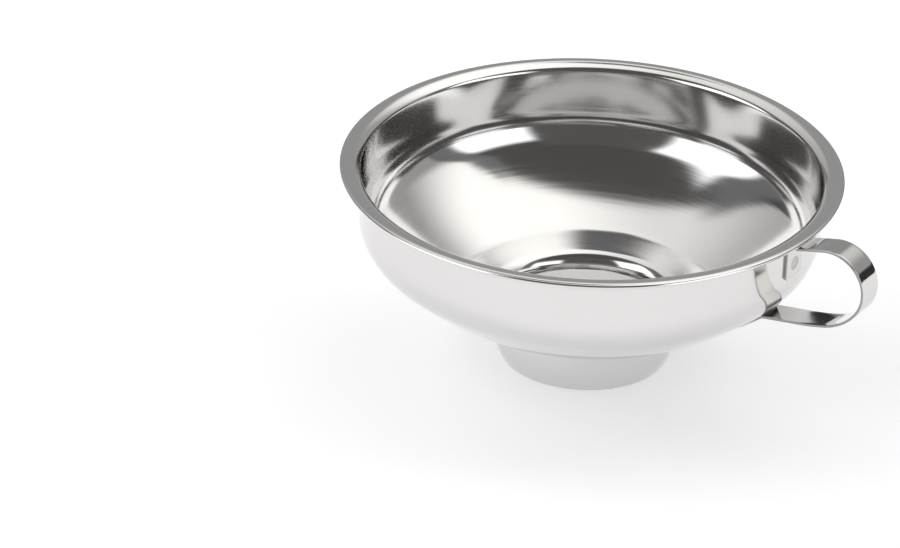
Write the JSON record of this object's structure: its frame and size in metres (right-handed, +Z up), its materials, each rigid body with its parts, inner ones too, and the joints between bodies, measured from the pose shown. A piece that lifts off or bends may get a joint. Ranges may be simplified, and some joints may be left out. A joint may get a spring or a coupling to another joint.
{
  "type": "canning funnel",
  "caption": "Wide-mouth canning funnel in polished stainless sheet: shallow bowl with a rolled lip, short upright spout and a bent strap handle.",
  "frame": {"origin": "centre of the spout's lower edge, in the plane the funnel stands on", "axes": "+Z up the funnel's axis of revolution, +X towards the handle, whose loop lies in the plane Y = 0"},
  "size_m": [0.1701, 0.15, 0.0625],
  "materials": {
    "bowl_steel": "mirror polished, fine circumferential polishing lines",
    "strap_steel": "polished strip, fine lengthwise lines",
    "weld_steel": "dull pressed electrode mark"
  },
  "bodies": {
    "root": {"bowl": "bowl_steel", "handle_strap": "strap_steel", "weld_upper": "weld_steel", "weld_lower": "weld_steel"}
  },
  "joints": []
}
